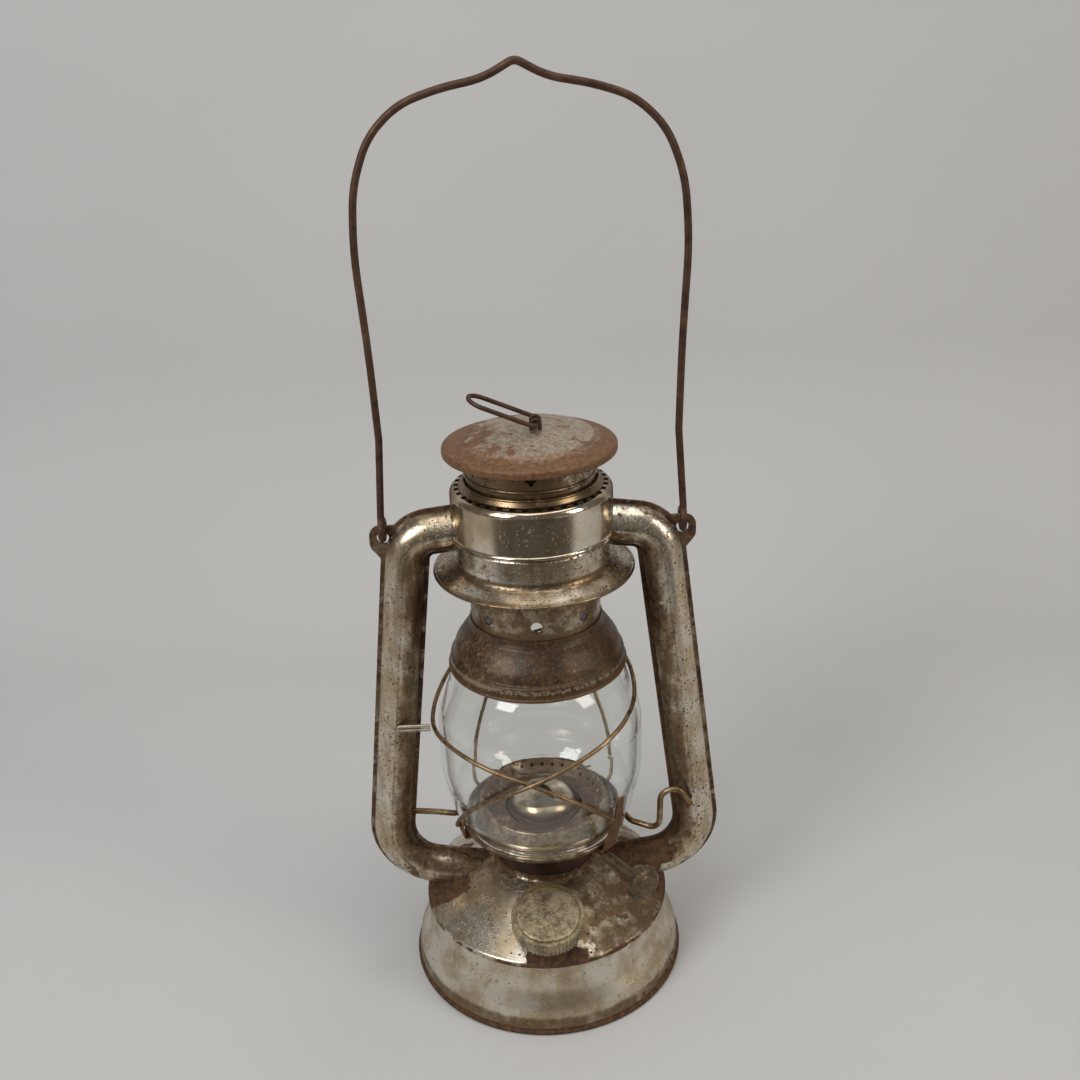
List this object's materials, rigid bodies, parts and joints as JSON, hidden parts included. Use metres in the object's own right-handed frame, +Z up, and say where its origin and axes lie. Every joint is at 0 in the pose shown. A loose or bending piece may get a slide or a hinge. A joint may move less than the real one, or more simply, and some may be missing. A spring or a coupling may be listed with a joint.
{
  "type": "hurricane lantern",
  "caption": "Tubular flat-wick hurricane lantern: dished fuel tank, bowed side air tubes, caged glass globe, vented chimney under a flat hood, and a swinging bail.",
  "frame": {"origin": "centre of the foot on the ground", "axes": "+Z up through the chimney, +X towards the side tube with the lever's thumb hook, -Y towards the filler cap"},
  "size_m": [0.1524, 0.12, 0.3789],
  "materials": {
    "tinned_steel": "satin",
    "rusted_steel": "matte",
    "dark_steel": "satin",
    "plated_steel": "satin",
    "zinc": "satin",
    "tan_wire": "satin",
    "glass": "gloss",
    "cotton": "matte",
    "cork": "matte"
  },
  "bodies": {
    "frame": {"tank_shell": "tinned_steel", "tank_bottom": "tinned_steel", "tank_top": "tinned_steel", "filler_neck": "tinned_steel", "air_chamber": "dark_steel", "right_tube_front": "tinned_steel", "right_tube_rear": "tinned_steel", "left_tube_front": "tinned_steel", "left_tube_rear": "tinned_steel", "crown_top": "tinned_steel", "crown_bell": "tinned_steel", "crown_sleeve": "tinned_steel", "chimney_spring": "dark_steel", "burner_collar": "dark_steel", "burner_plug": "dark_steel", "burner_basket": "dark_steel", "burner_cone": "dark_steel", "wick_tube": "dark_steel", "wheel_housing": "dark_steel"},
    "bail": {"bail": "rusted_steel"},
    "lift_lever": {"lift_lever": "tan_wire"},
    "globe_carriage": {"globe_plate": "rusted_steel", "globe_glass": "glass", "guard_wire_left": "tan_wire", "guard_wire_right": "tan_wire", "plate_catch": "rusted_steel", "guard_lug": "rusted_steel", "tube_guide": "tan_wire"},
    "chimney": {"chimney_tube": "tinned_steel", "globe_cap": "rusted_steel", "hood": "rusted_steel", "ring_staple": "tinned_steel"},
    "hood_ring": {"hood_ring": "tinned_steel"},
    "wick_drive": {"wick_shaft": "plated_steel", "spur_wheel_inner": "dark_steel", "spur_wheel_outer": "dark_steel", "wick_knob": "plated_steel"},
    "wick": {"wick": "cotton"},
    "cap_seal": {"cap_gasket": "cork"},
    "filler_cap": {"filler_cap": "zinc"}
  },
  "joints": [
    {"name": "bail_swing", "type": "hinge", "parent": "frame", "child": "bail", "pos_m": [0, 0, 0.2077], "axis": [1, 0, 0], "range_deg": [-120, 120]},
    {"name": "lever_lift", "type": "hinge", "parent": "frame", "child": "lift_lever", "pos_m": [-0.057, 0, 0.073], "axis": [0, -1, 0], "range_deg": [0, 8.8]},
    {"name": "globe_lift", "type": "slide", "parent": "frame", "child": "globe_carriage", "axis": [0, 0, 1], "range_m": [0, 0.014]},
    {"name": "chimney_lift", "type": "slide", "parent": "globe_carriage", "child": "chimney", "axis": [0, 0, 1], "range_m": [0, 0.012], "deforming": ["chimney_spring"]},
    {"name": "ring_swing", "type": "hinge", "parent": "chimney", "child": "hood_ring", "pos_m": [0.0026, 0, 0.2494], "axis": [0, 1, 0], "range_deg": [0, 134]},
    {"name": "wick_turn", "type": "hinge", "parent": "frame", "child": "wick_drive", "pos_m": [0.00372, 0.0027, 0.0647], "axis": [-0.5876, 0.8087, -0.0262], "range_deg": [-69, 86]},
    {"name": "wick_raise", "type": "slide", "parent": "frame", "child": "wick", "axis": [0, 0, 1], "range_m": [-0.0041, 0.0051]},
    {"name": "cap_lift", "type": "slide", "parent": "frame", "child": "cap_seal", "axis": [0, -0.2588, 0.9659], "range_m": [0, 0.0081]},
    {"name": "cap_turn", "type": "hinge", "parent": "cap_seal", "child": "filler_cap", "pos_m": [0, -0.045, 0.0526], "axis": [0, -0.2588, 0.9659], "range_deg": [0, 720]}
  ],
  "couplings": [
    {"joint": "globe_lift", "follows": "lever_lift", "m_per_rad": 0.0905},
    {"joint": "wick_raise", "follows": "wick_turn", "m_per_rad": 0.0033},
    {"joint": "cap_lift", "follows": "cap_turn", "m_per_rad": 0.00063662}
  ]
}
